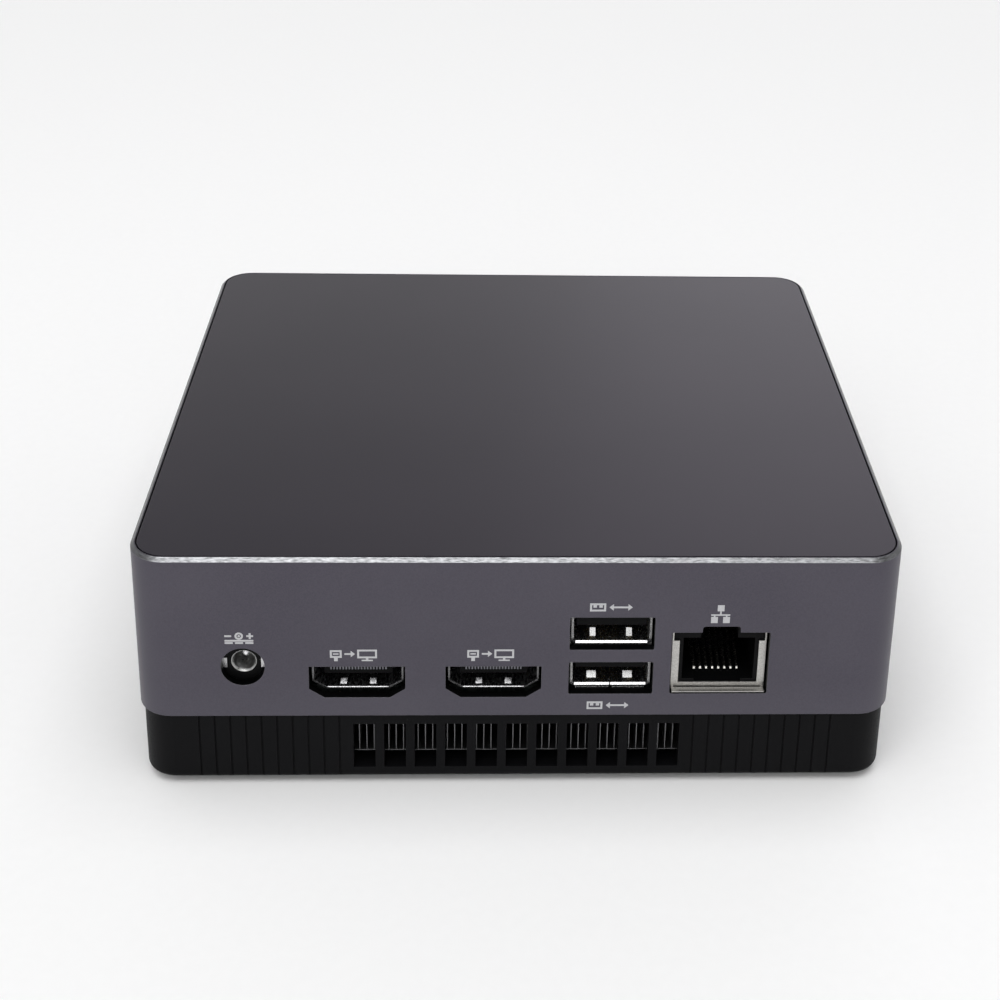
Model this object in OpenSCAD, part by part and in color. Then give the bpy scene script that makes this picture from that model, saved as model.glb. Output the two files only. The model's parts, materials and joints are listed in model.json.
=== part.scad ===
// Small desktop computer. A chamfered metal shell with an inset top panel stands on a ribbed
// black base. Board, cooler, cards, sockets and power button are separate pieces inside.
// +X is right seen from the front, +Y is the rear with the sockets, +Z is up.
// The origin is the centre of the footprint, on the surface that the feet rest on.

/* [Overall size] */
// Width from side to side
body_w = 125; // [124:1:130]
// Depth from front to rear
body_d = 112; // [111:1:118]
// Height with the feet
body_h = 44; // [42:1:56]
// Radius of the four upright corners
corner_r = 6; // [5.5:0.5:7]

/* [Upper shell] */
// Wall of the metal shell
shell_wall = 1.5; // [1.5:0.1:2]
// Bright chamfer around the top edge
edge_chamfer = 0.6; // [0.4:0.1:1]
// Thickness of the inset top panel
panel_t = 1; // [0.8:0.1:1.2]
// Gap around the top panel
panel_gap = 0.3; // [0.2:0.05:0.5]
// Width of the ledge that carries the top panel
ledge_w = 9; // [8:0.5:11]

/* [Base] */
// Height of the rubber feet below the base
foot_h = 1.2; // [1:0.1:1.4]
// Height of the seam between shell and base
seam_z = 14.15; // [14.1:0.05:14.4]
// Step inwards from shell to base
base_inset = 0.6; // [0.5:0.1:0.8]
// Wall of the base
base_wall = 2; // [1.8:0.1:2]
// Radius along the lower edge of the base
base_fillet = 1; // [0.75:0.25:2.5]
// Spacing of the upright grooves, before they are spread evenly over each side
groove_pitch = 2.53; // [2.5:0.01:4]
// Width of a groove
groove_w = 0.35; // [0.25:0.05:0.6]
// Depth of a groove
groove_depth = 0.3; // [0.2:0.05:0.5]
// Number of rear air openings
vent_count = 11; // [5:2:11]
// Width of one air opening
vent_w = 3.6; // [3:0.1:4]
// Spacing of the air openings
vent_pitch = 5.05; // [4.5:0.05:5.1]
// Lowest point of the air openings
vent_z = 3.3; // [3.2:0.1:4]
// Height of the air openings
vent_h = 8.65; // [6:0.05:8.7]

/* [Board] */
// Height of the board's upper face
board_top = 18.3; // [18.2:0.05:18.4]
// Thickness of the board
board_t = 1.6; // [1.5:0.1:1.6]

/* [Rear sockets] */
// Sideways place of the power jack
dc_x = 44.6; // [43.5:0.1:45]
// Height of the power jack's axis
dc_z = 23.7; // [23.4:0.1:24.5]
// Diameter of the hole for the power plug
dc_hole_d = 7.1; // [6.8:0.1:7.6]
// Sideways place of the first video port
video_1_x = 26.2; // [25.5:0.1:26.8]
// Sideways place of the second video port
video_2_x = 4; // [3:0.1:6]
// Width of a video port opening
video_w = 15.65; // [15.4:0.05:16]
// Sideways place of the stacked serial ports
usb_x = -15.2; // [-15.6:0.1:-14]
// Width of a serial port opening
usb_w = 13.85; // [13.6:0.05:14.2]
// Height of a serial port opening
usb_h = 6.2; // [6:0.05:6.4]
// Sideways place of the network jack
lan_x = -33; // [-34:0.1:-32.6]
// Width of the network jack opening
lan_w = 16.1; // [15.9:0.05:16.5]
// Height of the network jack opening
lan_h = 11.9; // [11.6:0.05:12.2]

/* [Front controls] */
// Sideways place of the power button
button_x = 44; // [42:0.5:46]
// Height of the power button's axis
button_z = 24; // [23.5:0.1:25]
// Diameter of the power button
button_d = 8.5; // [7:0.1:9]
// Travel of the power button
button_travel = 0.5; // [0.2:0.05:0.6]
// Sideways place of the audio jack
audio_x = 24; // [22:0.5:27]
// Sideways place of the first front serial port
front_usb_1_x = 3; // [1:0.5:6]
// Sideways place of the second front serial port
front_usb_2_x = -16; // [-20:0.5:-14]

/* [Cooler] */
// Sideways place of the fan's axis
fan_x = -4; // [-5:0.5:-3]
// Place of the fan's axis from front to rear
fan_y = 12; // [11:0.5:13]
// Radius of the blade tips
rotor_r = 20.5; // [18:0.5:21.5]
// Number of fan blades
blade_count = 27; // [15:2:31]
// Spacing of the cooling fins
fin_pitch = 1.22; // [1:0.02:2]
// Thickness of a cooling fin
fin_t = 0.15; // [0.15:0.05:0.4]

/* [Hidden] */
$fn = 48;
eps = 0.01;
slack = 0.05;
half_w = body_w / 2;
half_d = body_d / 2;
floor_top = foot_h + 1.8;
board_bottom = board_top - board_t;
socket_plane = half_d - shell_wall - 0.1;

// Upper shell and top panel
top_wall = 2.2;
glue_t = 0.15;
rim = edge_chamfer + 0.15;
recess_depth = panel_t + glue_t;
panel_inset = rim + panel_gap;
post_x = half_w - 7;
post_y = half_d - 7;
post_r = 3.2;
web_t = 1.2;

// Base and the lip that locates it inside the shell
lip_inset = shell_wall + 0.15;
lip_t = 1.15;
lip_top = seam_z + 2.05;
lip_root = seam_z - 1.95;
post_z = lip_top + 0.15;
case_boss_r = 5.4;
board_screw_x = 55;
board_screw_y = 38;
bracket_x = 37.5;
bracket_boss_top = 8;
foot_r = 6.5;
foot_recess = 0.6;
foot_x = 44;
foot_y = 38;
groove_margin = 4.3;

// Screw and insert radii
m3_r = 1.45;
m25_r = 1.2;
m2_r = 0.9;
insert_r = 2.2;
insert_h = 6;
bracket_insert_r = 2.9;
bracket_bore_r = 1.65;

// Cooler, from the processor down to the fins
cpu_x = 40;
cpu_y = 3;
die_z = board_bottom - 1.3;
plate_top = die_z - 0.1;
plate_t = 1.5;
pipe_h = 2.6;
pipe_w = 8;
pipe_z = plate_top - plate_t - pipe_h;
pipe_bend_r = 12;
fin_y = half_d - 14;
fin_depth = 11;
fin_w = 56;
fin_z = 4.8;
pipe_y = fin_y + 5;
sink_screw_dx = 14;
sink_screw_dy = 10.5;
spring_h = 3.7;
spring_bottom = plate_top - plate_t - spring_h;

// Fan, from its lower cover up to its roof
fan_z = floor_top + 0.6;
fan_roof = pipe_z - 0.2;
fan_inner_r = 24;
fan_wall = 1.2;
fan_mouth_y = fin_y - 0.3;
hub_r = 9;
hub_wall = 0.8;
tube_r = 2.2;
shaft_r = 0.75;
rotor_low = fan_z + 1;
rotor_high = fan_roof - 1.2;
ear_points = [[-28.4, 18], [28.4, 18], [0, -28.4]];

// Cards on top of the board. Each card end is held by a screw.
memory_x = -22;
memory_y = -34;
memory_w = 67.6;
memory_z = board_top + 2;
card_z = board_top + 2.7;
card_t = 0.8;
card_w = 22;
ssd_x = -31;
ssd_y = 17;
ssd_len = 42;
radio_x = 53.5;
radio_y = -23;
radio_len = 30;
card_ends = [[ssd_x, ssd_y], [radio_x, radio_y]];

// Antennas, each in line with its plug on the radio card
antenna_z = body_h - panel_t - 0.2;
antenna_spots = [[22, radio_y + 7], [-28, radio_y - 7]];

// Power jack
dc_len = 14;
dc_tube_r = 2.05;
dc_tube_inner_r = 1.8;
dc_pin_r = 0.65;
dc_root_r = 0.48;

// Video ports: openings in the wall, then the shells and tongues behind them
video_h = 6;
video_z = board_top - 0.6;
video_cut = [2.5, 1.7];
video_centres = [video_1_x, video_2_x];
video_shell_w = 14.9;
video_shell_h = 5.15;
video_metal = 0.3;
video_shell_z = board_top + 0.05;
video_len = 11;
video_inner_z = video_shell_z + video_metal;
video_tongue_z = video_inner_z + 1.5;

// Serial ports
usb_lower_z = board_top;
usb_upper_z = board_top + 8.6;
usb_cavity = [12.4, 5.1];
usb_metal = 0.4;
usb_flare = 0.3;
usb_cavity_low = board_top + 0.9;
usb_cavity_high = board_top + 9.1;
usb_tongue_rise = 2.5;
usb_tongue_t = 1.85;
usb_len = 14;

// Network jack
lan_z = board_top;
lan_latch_w = 6.2;
lan_latch_h = 1.15;
lan_half = 7.75;
lan_top = board_top + 13.2;
lan_len = 21;
lan_metal = 0.25;
lan_flange = 1.2;
lan_lip = 1.4;
lan_sill = board_top + 1.1;
lan_cavity_floor = board_top + 1.6;
lan_cavity_h = 8;
lan_pitch = 1.02;

// Audio jack
audio_z = board_top + 3.1;
audio_r = 1.8;

// Power button and its switch
button_r = button_d / 2;
ring_r = button_r + 0.85;
ring_back = -half_d + shell_wall + 0.6;
button_front = -half_d + 0.1;
button_flange = ring_back + 0.1;
stem_end = -half_d + 5.7;
switch_front = stem_end + 0.6 + button_travel;
switch_back = switch_front + 3.2;
dome_y = switch_front + 1.25 + button_travel;

// ---- Shared shapes ----

// Rectangle with rounded corners, centred
module rounded_rect(w, d, r) {
    square([w - 2 * r, d], center = true);
    square([w, d - 2 * r], center = true);
    for (sx = [-1, 1], sy = [-1, 1])
        translate([sx * (w / 2 - r), sy * (d / 2 - r)]) circle(r = r);
}

// Upright prism with rounded corners between two heights
module round_prism(w, d, r, z0, z1) {
    translate([0, 0, z0]) linear_extrude(height = z1 - z0) rounded_rect(w, d, r);
}

// Upright prism that follows the body outline, stepped in by a distance
module body_prism(inset, z0, z1) {
    round_prism(body_w - 2 * inset, body_d - 2 * inset, corner_r - inset, z0, z1);
}

// Box between two corners
module box(low, high) {
    translate(low) cube(high - low);
}

// Upright cylinder at a point
module post(x, y, r, z0, z1) {
    translate([x, y, z0]) cylinder(r = r, h = z1 - z0);
}

// The four points at plus and minus x and y
module at_corners(x, y) {
    for (sx = [-1, 1], sy = [-1, 1]) translate([sx * x, sy * y, 0]) children();
}

// Flat shape in X and Z, drawn back from the socket plane in -Y
module face_prism(len) {
    rotate([90, 0, 0]) linear_extrude(height = len) children();
}

// Moves children to a rear socket or to a front socket that faces -Y
module at_rear(x) {
    translate([x, socket_plane, 0]) children();
}
module at_front(x) {
    translate([x, -socket_plane, 0]) rotate([0, 0, 180]) children();
}

// Pan-head screw pointing up, its head under z = 0
module screw_up(shank_r, len, head_r, head_h) {
    difference() {
        union() {
            cylinder(r = shank_r, h = len);
            translate([0, 0, -head_h]) cylinder(r1 = head_r - 0.3, r2 = head_r, h = 0.3);
            translate([0, 0, -head_h + 0.3]) cylinder(r = head_r, h = head_h - 0.3);
        }
        for (a = [0, 90]) rotate([0, 0, a])
            translate([0, 0, -head_h + head_h / 4])
                cube([head_r * 1.3, 0.5, head_h / 2 + eps], center = true);
    }
}

// The same screw pointing down, its head above z = 0
module screw_down(shank_r, len, head_r, head_h) {
    mirror([0, 0, 1]) screw_up(shank_r, len, head_r, head_h);
}

// ---- Shell and panel ----

// Full-width profile: straight sides with chamfered upper edges
module chamfered_profile(half, h, c) {
    polygon([[-half, 0], [half, 0], [half, h - c], [half - c, h], [c - half, h], [-half, h - c]]);
}

// Block that follows the body outline, with a chamfered top edge
module chamfered_block(z0, z1, c) {
    h = z1 - z0;
    flat_w = body_w - 2 * corner_r;
    flat_d = body_d - 2 * corner_r;
    translate([0, 0, z0]) {
        rotate([90, 0, 0]) linear_extrude(height = flat_d, center = true) chamfered_profile(half_w, h, c);
        rotate([90, 0, 90]) linear_extrude(height = flat_w, center = true) chamfered_profile(half_d, h, c);
        at_corners(half_w - corner_r, half_d - corner_r) {
            cylinder(r = corner_r, h = h - c);
            translate([0, 0, h - c]) cylinder(r1 = corner_r, r2 = corner_r - c, h = c);
        }
    }
}

module upper_shell() {
    color("#55535b") difference() {
        union() {
            difference() {
                chamfered_block(seam_z, body_h, edge_chamfer);
                body_prism(shell_wall, seam_z - 1, body_h - top_wall);
                body_prism(rim, body_h - recess_depth, body_h + 1);
                ledge_opening();
            }
            at_corners(post_x, post_y) case_post();
            for (sx = [-1, 1], sy = [-1, 1]) mirror_corner(sx, sy) post_webs();
        }
        at_corners(post_x, post_y) {
            translate([0, 0, post_z - eps]) cylinder(r = insert_r + 0.02, h = insert_h + 0.1);
            translate([0, 0, post_z]) cylinder(r = m3_r + 0.1, h = insert_h + 3);
        }
        rear_openings();
        front_openings();
    }
}

// Opening inside the ledge, under the top panel
module ledge_opening() {
    inset = rim + ledge_w;
    round_prism(body_w - 2 * inset, body_d - 2 * inset, 3, body_h - top_wall - 1, body_h);
}

// Post that takes a case screw's insert
module case_post() {
    translate([0, 0, post_z]) cylinder(r = post_r, h = body_h - top_wall - post_z + 0.2);
}

// Places a corner feature by mirroring it
module mirror_corner(sx, sy) {
    mirror([sx < 0 ? 1 : 0, 0, 0]) mirror([0, sy < 0 ? 1 : 0, 0]) children();
}

// Two webs that tie a post to the side walls
module post_webs() {
    z1 = body_h - top_wall + 0.2;
    box([post_x, post_y - web_t / 2, post_z], [half_w - shell_wall + 0.2, post_y + web_t / 2, z1]);
    box([post_x - web_t / 2, post_y, post_z], [post_x + web_t / 2, half_d - shell_wall + 0.2, z1]);
}

// Six-sided outline of a video port, its lower corners cut off
module video_outline(w, h, cut) {
    half = w / 2;
    foot = half - cut[0];
    polygon([[-half, h], [half, h], [half, cut[1]], [foot, 0], [-foot, 0], [-half, cut[1]]]);
}

// Holes through the rear wall
module rear_openings() {
    depth = shell_wall + 1;
    translate([0, half_d + 0.5, 0]) {
        translate([dc_x, 0, dc_z]) rotate([90, 0, 0]) cylinder(r = dc_hole_d / 2, h = depth);
        for (x = video_centres)
            translate([x, 0, video_z]) face_prism(depth) video_outline(video_w, video_h, video_cut);
        for (z = [usb_lower_z, usb_upper_z])
            translate([usb_x, 0, z + usb_h / 2]) face_prism(depth) rounded_rect(usb_w, usb_h, 0.3);
        translate([lan_x, 0, lan_z + lan_h / 2]) face_prism(depth) rounded_rect(lan_w, lan_h, 0.4);
        translate([lan_x, 0, lan_z + lan_h + lan_latch_h / 2 - 0.5])
            face_prism(depth) rounded_rect(lan_latch_w, lan_latch_h + 1, 0.5);
    }
}

// Holes through the front wall
module front_openings() {
    depth = shell_wall + 1;
    translate([0, -half_d - 0.5, 0]) rotate([0, 0, 180]) {
        translate([-button_x, 0, button_z]) rotate([90, 0, 0]) cylinder(r = ring_r + slack, h = depth);
        translate([-audio_x, 0, audio_z]) rotate([90, 0, 0]) cylinder(r = 3.1, h = depth);
        for (x = [front_usb_1_x, front_usb_2_x])
            translate([-x, 0, usb_lower_z + usb_h / 2]) face_prism(depth) rounded_rect(usb_w, usb_h, 0.3);
    }
}

module top_panel() {
    color("#4c4a50") body_prism(panel_inset, body_h - panel_t, body_h);
}

module top_panel_adhesive() {
    inset = rim + ledge_w - 1;
    color("#222222") difference() {
        body_prism(panel_inset + 0.5, body_h - recess_depth, body_h - panel_t);
        round_prism(body_w - 2 * inset, body_d - 2 * inset, 3, body_h - recess_depth - 1, body_h);
    }
}

// ---- Base ----

// Half profile for a corner: straight side with a rounded lower edge
module corner_profile(r, f, h) {
    square([r - f, h]);
    translate([0, f]) square([r, h - f]);
    intersection() {
        translate([r - f, f]) circle(r = f);
        square([r, h]);
    }
}

// Full-width profile: straight sides with rounded lower edges
module bar_profile(half, f, h) {
    translate([f - half, 0]) square([2 * (half - f), h]);
    translate([-half, f]) square([2 * half, h - f]);
    for (s = [-1, 1]) translate([s * (half - f), f]) circle(r = f);
}

// Block that follows the body outline, with a rounded lower edge
module filleted_block(inset, z0, z1, f) {
    h = z1 - z0;
    flat_w = body_w - 2 * corner_r;
    flat_d = body_d - 2 * corner_r;
    translate([0, 0, z0]) {
        rotate([90, 0, 0])
            linear_extrude(height = flat_d, center = true) bar_profile(half_w - inset, f, h);
        rotate([90, 0, 90])
            linear_extrude(height = flat_w, center = true) bar_profile(half_d - inset, f, h);
        at_corners(half_w - corner_r, half_d - corner_r)
            rotate_extrude() corner_profile(corner_r - inset, f, h);
    }
}

// Upright grooves on all four sides, left out at the corners and the rear vents
module grooves() {
    z0 = foot_h + 0.2;
    h = seam_z - z0 - 0.4;
    last_x = half_w - corner_r - groove_margin;
    last_y = half_d - corner_r - groove_margin;
    steps_x = round(2 * last_x / groove_pitch);
    steps_y = round(2 * last_y / groove_pitch);
    vent_edge = vent_pitch * (vent_count - 1) / 2 + vent_w / 2 + 1;
    for (i = [0 : steps_x], side = [-1, 1]) {
        x = last_x * (2 * i / steps_x - 1);
        if (side < 0 || abs(x) > vent_edge)
            translate([x, side * (half_d - base_inset), z0 + h / 2])
                cube([groove_w, 2 * groove_depth, h], center = true);
    }
    for (i = [0 : steps_y], side = [-1, 1])
        translate([side * (half_w - base_inset), last_y * (2 * i / steps_y - 1), z0 + h / 2])
            cube([2 * groove_depth, groove_w, h], center = true);
}

// Row of air openings through the rear wall of the base
module rear_vents() {
    for (i = [0 : vent_count - 1]) {
        x = (i - (vent_count - 1) / 2) * vent_pitch;
        translate([x, half_d - base_inset - base_wall / 2, vent_z + vent_h / 2])
            cube([vent_w, base_wall + 2, vent_h], center = true);
    }
}

// Slots with round ends in the floor under the fan, inside a circle
module intake_slots() {
    reach = 17;
    pitch = 3.6;
    slot_r = 1;
    for (i = [-4 : 4]) {
        y = i * pitch;
        end_x = sqrt(reach * reach - y * y) - 2 * slot_r;
        translate([fan_x, fan_y + y, foot_h - 1]) linear_extrude(height = 4) {
            square([2 * end_x, 2 * slot_r], center = true);
            for (sx = [-1, 1]) translate([sx * end_x, 0]) circle(r = slot_r);
        }
    }
}

module base_tub() {
    color("#1a1a1c") difference() {
        union() {
            difference() {
                filleted_block(base_inset, foot_h, seam_z, base_fillet);
                body_prism(base_inset + base_wall, floor_top, seam_z + 1);
            }
            difference() {
                body_prism(lip_inset, lip_root, lip_top);
                body_prism(lip_inset + lip_t, lip_root - 1, lip_top + 1);
            }
            intersection() {
                at_corners(post_x, post_y) translate([0, 0, floor_top - 0.5])
                    cylinder(r = case_boss_r, h = lip_top - floor_top + 0.5);
                body_prism(lip_inset + 0.3, foot_h, lip_top + 1);
            }
            at_corners(board_screw_x, board_screw_y) translate([0, 0, floor_top - 0.5])
                cylinder(r = 2.8, h = board_bottom - floor_top + 0.5);
            for (sx = [-1, 1]) post(sx * bracket_x, 0, 4.4, floor_top - 0.5, bracket_boss_top);
        }
        at_corners(post_x, post_y) {
            translate([0, 0, foot_h - 1]) cylinder(r = 3.1, h = 4);
            translate([0, 0, foot_h]) cylinder(r = m3_r + 0.15, h = lip_top);
        }
        at_corners(board_screw_x, board_screw_y)
            translate([0, 0, board_bottom - 9]) cylinder(r = m25_r + slack, h = 10);
        for (sx = [-1, 1])
            post(sx * bracket_x, 0, bracket_insert_r + 0.02, foot_h - 1, bracket_boss_top - 0.5);
        at_corners(foot_x, foot_y)
            translate([0, 0, foot_h - 1]) cylinder(r = foot_r + 0.1, h = foot_recess + 1);
        grooves();
        rear_vents();
        intake_slots();
    }
}

module rubber_feet() {
    color("#2a2a2c") at_corners(foot_x, foot_y) {
        cylinder(r1 = foot_r - 0.4, r2 = foot_r, h = 0.4);
        translate([0, 0, 0.4]) cylinder(r = foot_r, h = foot_h + foot_recess - 0.4);
    }
}

// ---- Fasteners ----

module case_screws() {
    head_seat = foot_h + 3;
    color("#3a3a3c") at_corners(post_x, post_y) translate([0, 0, head_seat])
        screw_up(m3_r, post_z + insert_h + 1 - head_seat, 2.75, 2);
}

module case_inserts() {
    color("#b8963e") at_corners(post_x, post_y) difference() {
        translate([0, 0, post_z + slack]) cylinder(r = insert_r, h = insert_h - slack);
        translate([0, 0, post_z - 1]) cylinder(r = m3_r + slack, h = insert_h + 2);
    }
}

module bracket_inserts() {
    color("#b8963e") for (sx = [-1, 1]) difference() {
        post(sx * bracket_x, 0, bracket_insert_r, foot_h + 0.1, bracket_boss_top - 0.6);
        post(sx * bracket_x, 0, bracket_bore_r, foot_h - 1, bracket_boss_top);
    }
}

module board_screws() {
    color("#c8c8cc") at_corners(board_screw_x, board_screw_y)
        translate([0, 0, board_top]) screw_down(m25_r, board_t + 7, 2.2, 1.5);
}

// Five equal screws: three hold the fan and two hold the cards
module small_screws() {
    color("#c8c8cc") {
        for (p = ear_points)
            translate([fan_x + p[0], fan_y + p[1], fan_roof - 1]) screw_up(m2_r, 3, 1.9, 1.1);
        for (p = card_ends) translate([p[0], p[1], card_z + card_t]) screw_down(m2_r, 3, 1.9, 1.1);
    }
}

// ---- Board ----

module mainboard() {
    notch_x = post_x - 3.8;
    notch_y = post_y - 3.8;
    edge_x = half_w - shell_wall - 1;
    edge_y = half_d - shell_wall - 1;
    color("#14201b") difference() {
        box([-edge_x, -edge_y, board_bottom], [edge_x, edge_y, board_top]);
        for (sx = [-1, 1], sy = [-1, 1]) mirror_corner(sx, sy)
            box([notch_x, notch_y, board_bottom - 1], [half_w, half_d, board_top + 1]);
        at_corners(board_screw_x, board_screw_y)
            translate([0, 0, board_bottom - 1]) cylinder(r = m25_r + 0.25, h = board_t + 2);
        translate([cpu_x, cpu_y, 0]) at_corners(sink_screw_dx, sink_screw_dy)
            translate([0, 0, board_bottom - 1]) cylinder(r = m25_r + 0.15, h = board_t + 2);
    }
}

module processor() {
    color("#2d5a3d") translate([cpu_x, cpu_y, 0])
        box([-12, -10, board_bottom - 0.9], [12, 10, board_bottom]);
    color("#8a8d92") translate([cpu_x, cpu_y, 0])
        box([-5, -6, die_z], [5, 6, board_bottom - 0.9 + eps]);
}

module thermal_pad() {
    color("#b0b0b4") translate([cpu_x, cpu_y, 0]) box([-5, -6, plate_top], [5, 6, die_z]);
}

// ---- Cooler ----

module heatsink_plate() {
    color("#b06a44") translate([cpu_x, cpu_y, 0]) difference() {
        round_prism(2 * sink_screw_dx + 6, 2 * sink_screw_dy + 6, 2, plate_top - plate_t, plate_top);
        at_corners(sink_screw_dx, sink_screw_dy)
            translate([0, 0, plate_top - plate_t - 1]) cylinder(r = m25_r + 0.15, h = plate_t + 2);
    }
}

// Flattened section of the heat pipe, centred
module pipe_section() {
    square([pipe_w - pipe_h, pipe_h], center = true);
    for (s = [-1, 1]) translate([s * (pipe_w - pipe_h) / 2, 0]) circle(r = pipe_h / 2);
}

module heat_pipe() {
    z = pipe_z + pipe_h / 2;
    y0 = cpu_y - 11;
    bend_y = pipe_y - pipe_bend_r;
    bend_x = cpu_x - pipe_bend_r;
    x_end = -fin_w / 2 + 2;
    color("#b8734a") {
        translate([cpu_x, bend_y, z]) rotate([90, 0, 0])
            linear_extrude(height = bend_y - y0) pipe_section();
        translate([bend_x, bend_y, z])
            rotate_extrude(angle = 90) translate([pipe_bend_r, 0]) pipe_section();
        translate([x_end, pipe_y, z]) rotate([90, 0, 90])
            linear_extrude(height = bend_x - x_end) pipe_section();
    }
}

module fin_stack() {
    sheet = 0.15;
    count = floor((fin_w - fin_t) / fin_pitch);
    first = -count * fin_pitch / 2;
    color("#c4c6ca") translate([0, fin_y, 0]) {
        box([-fin_w / 2, 0, fin_z], [fin_w / 2, fin_depth, fin_z + sheet]);
        box([-fin_w / 2, 0, pipe_z - sheet], [fin_w / 2, fin_depth, pipe_z]);
        for (i = [0 : count]) {
            x = first + i * fin_pitch - fin_t / 2;
            box([x, 0, fin_z + sheet / 2], [x + fin_t, fin_depth, pipe_z - sheet / 2]);
        }
    }
}

module heatsink_screws() {
    color("#c8c8cc") translate([cpu_x, cpu_y, 0]) at_corners(sink_screw_dx, sink_screw_dy)
        translate([0, 0, spring_bottom]) screw_up(m25_r, board_top + 0.9 - spring_bottom, 2.1, 1.2);
}

// Points along a coiled wire, ring by ring
function coil_points(turns, steps, r, height, wire_r, sides) = [
    for (i = [0 : steps], j = [0 : sides - 1])
        let (a = 360 * turns * i / steps, b = 360 * j / sides, rr = r + wire_r * cos(b))
        [rr * cos(a), rr * sin(a), wire_r + (height - 2 * wire_r) * i / steps + wire_r * sin(b)]
];

// Coil spring standing on z = 0
module coil_spring(r, height, wire_r, turns) {
    sides = 6;
    steps = round(turns * 15);
    tube = [for (i = [0 : steps - 1], j = [0 : sides - 1])
        let (a = i * sides, b = a + sides, k = (j + 1) % sides) [a + j, b + j, b + k, a + k]];
    cap_low = [for (j = [0 : sides - 1]) j];
    cap_high = [for (j = [sides - 1 : -1 : 0]) steps * sides + j];
    polyhedron(coil_points(turns, steps, r, height, wire_r, sides), concat(tube, [cap_low, cap_high]));
}

module heatsink_springs() {
    color("#d0d0d4") translate([cpu_x, cpu_y, 0]) at_corners(sink_screw_dx, sink_screw_dy)
        translate([0, 0, spring_bottom + 0.02]) coil_spring(1.65, spring_h - 0.04, 0.22, 4);
}

// Steel frame on top of the board that the cooler's screws thread into
module heatsink_backplate() {
    w = 2 * sink_screw_dx + 6;
    d = 2 * sink_screw_dy + 6;
    color("#9a9ca0") translate([cpu_x, cpu_y, 0]) difference() {
        round_prism(w, d, 2, board_top, board_top + 1);
        round_prism(w - 14, d - 14, 2, board_top - 1, board_top + 2);
        at_corners(sink_screw_dx, sink_screw_dy)
            translate([0, 0, board_top - 1]) cylinder(r = m25_r + slack, h = 3);
    }
}

// Plan of the fan's air space: a round chamber that widens into the mouth
module fan_plan(grow) {
    circle(r = fan_inner_r + grow);
    translate([-fan_inner_r - grow, 0])
        square([2 * (fan_inner_r + grow), fan_mouth_y - fan_y]);
}

module fan_housing() {
    roof_t = 0.6;
    color("#26262a") translate([fan_x, fan_y, 0]) {
        difference() {
            union() {
                translate([0, 0, fan_z + 0.5])
                    linear_extrude(height = fan_roof - fan_z - 0.5) fan_plan(fan_wall);
                for (p = ear_points) {
                    post(p[0], p[1], 2.8, fan_roof - 1, fan_roof);
                    translate([p[0] / 1.08, p[1] / 1.03, fan_roof - 0.5]) cube([5, 5, 1], center = true);
                }
            }
            difference() {
                translate([0, 0, fan_z - 1]) linear_extrude(height = fan_roof - roof_t - fan_z + 1) {
                    fan_plan(0);
                    translate([-fan_inner_r, 0]) square([2 * fan_inner_r, fan_mouth_y - fan_y + 1]);
                }
                post(0, 0, tube_r, fan_z + 2.4, fan_roof);
            }
            post(0, 0, tube_r - 0.6, fan_z, fan_roof - roof_t);
            for (p = ear_points) post(p[0], p[1], m2_r + 0.15, fan_roof - 2, fan_roof + 1);
            for (a = [20 : 40 : 340]) rotate([0, 0, a]) translate([14, 0, fan_roof - 1])
                linear_extrude(height = 2) rounded_rect(6, 3, 1.4);
        }
    }
}

module fan_cover() {
    color("#b4b6ba") translate([fan_x, fan_y, 0]) difference() {
        translate([0, 0, fan_z]) linear_extrude(height = 0.5) fan_plan(fan_wall);
        translate([0, 0, fan_z - 1]) cylinder(r = 15, h = 3);
    }
}

module fan_standoffs() {
    color("#b8963e") for (p = ear_points) translate([fan_x + p[0], fan_y + p[1], 0]) difference() {
        translate([0, 0, fan_roof]) cylinder(r = 2.3, h = board_bottom - fan_roof, $fn = 6);
        translate([0, 0, fan_roof - 1]) cylinder(r = m2_r + slack, h = 4);
    }
}

module fan_bearing() {
    color("#8c6f4a") translate([fan_x, fan_y, 0]) difference() {
        post(0, 0, tube_r - 0.62, fan_z + 2.6, fan_roof - 0.7);
        post(0, 0, shaft_r + 0.03, fan_z + 2, fan_roof);
    }
}

// Four wound poles around the bearing tube
module fan_stator() {
    color("#9c5a34") translate([fan_x, fan_y, 0]) difference() {
        union() {
            post(0, 0, 3.6, fan_z + 2.6, fan_roof - 1.1);
            for (a = [0 : 90 : 270]) rotate([0, 0, a]) {
                box([2.8, -1.3, fan_z + 2.9], [6, 1.3, fan_roof - 1.4]);
                intersection() {
                    post(0, 0, 6.7, fan_z + 2.6, fan_roof - 1.1);
                    box([5.6, -3.4, fan_z + 2.6], [7, 3.4, fan_roof - 1.1]);
                }
            }
        }
        post(0, 0, tube_r + 0.02, fan_z + 2, fan_roof);
    }
}

// Hub cup that opens upwards, with curved blades around it
module fan_rotor() {
    blade_r = 14;
    blade_t = 0.5;
    blade_low = rotor_low + 0.3;
    sweep = 52;
    color("#1e1e20") translate([fan_x, fan_y, 0]) difference() {
        union() {
            post(0, 0, hub_r, rotor_low, rotor_high);
            for (i = [0 : blade_count - 1]) rotate([0, 0, i * 360 / blade_count])
                translate([hub_r - 0.6, -blade_r, blade_low]) rotate([0, 0, 90 - sweep])
                    rotate_extrude(angle = sweep) translate([blade_r - blade_t / 2, 0])
                        square([blade_t, rotor_high - 0.4 - blade_low]);
        }
        difference() {
            post(0, 0, rotor_r + 30, rotor_low - 1, rotor_high + 1);
            post(0, 0, rotor_r, rotor_low - 2, rotor_high + 2);
        }
        post(0, 0, hub_r - hub_wall, rotor_low + 0.8, rotor_high + 1);
        post(0, 0, shaft_r + 0.02, rotor_low - 1, rotor_high);
    }
}

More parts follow.
